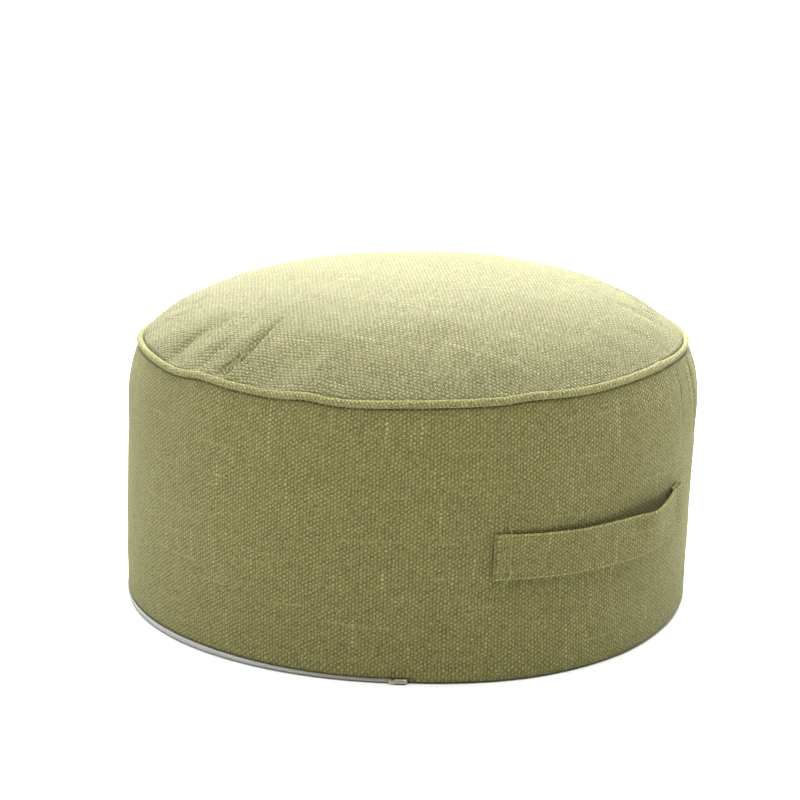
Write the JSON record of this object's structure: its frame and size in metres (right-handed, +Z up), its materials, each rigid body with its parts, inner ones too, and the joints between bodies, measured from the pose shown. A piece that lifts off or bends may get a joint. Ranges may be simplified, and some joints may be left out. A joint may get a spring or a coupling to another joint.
{
  "type": "round floor cushion",
  "caption": "Round drum-shaped floor cushion with a crowned top, a piped top seam, an upright side band, a flat carrying handle sewn to the band and a zip in the base seam.",
  "frame": {"origin": "middle of the cushion's outline on the floor", "axes": "+Z up out of the crowned top; -Y towards the side with the zip's slider; +X towards the side with the handle's second end"},
  "size_m": [0.4044, 0.4039, 0.228],
  "materials": {
    "cover_cloth": "matte slubby olive plain weave",
    "piping_cloth": "matte olive plain weave cut across and wrapped round a cord",
    "handle_cloth": "matte olive plain weave in two layers",
    "zip_tape_cloth": "light grey woven zip tape",
    "slider_metal": "plain nickel"
  },
  "bodies": {
    "root": {"cushion_body": "cover_cloth", "top_piping": "piping_cloth", "handle_strap": "handle_cloth", "zip_tape": "zip_tape_cloth", "zip_slider": "slider_metal"}
  },
  "joints": []
}
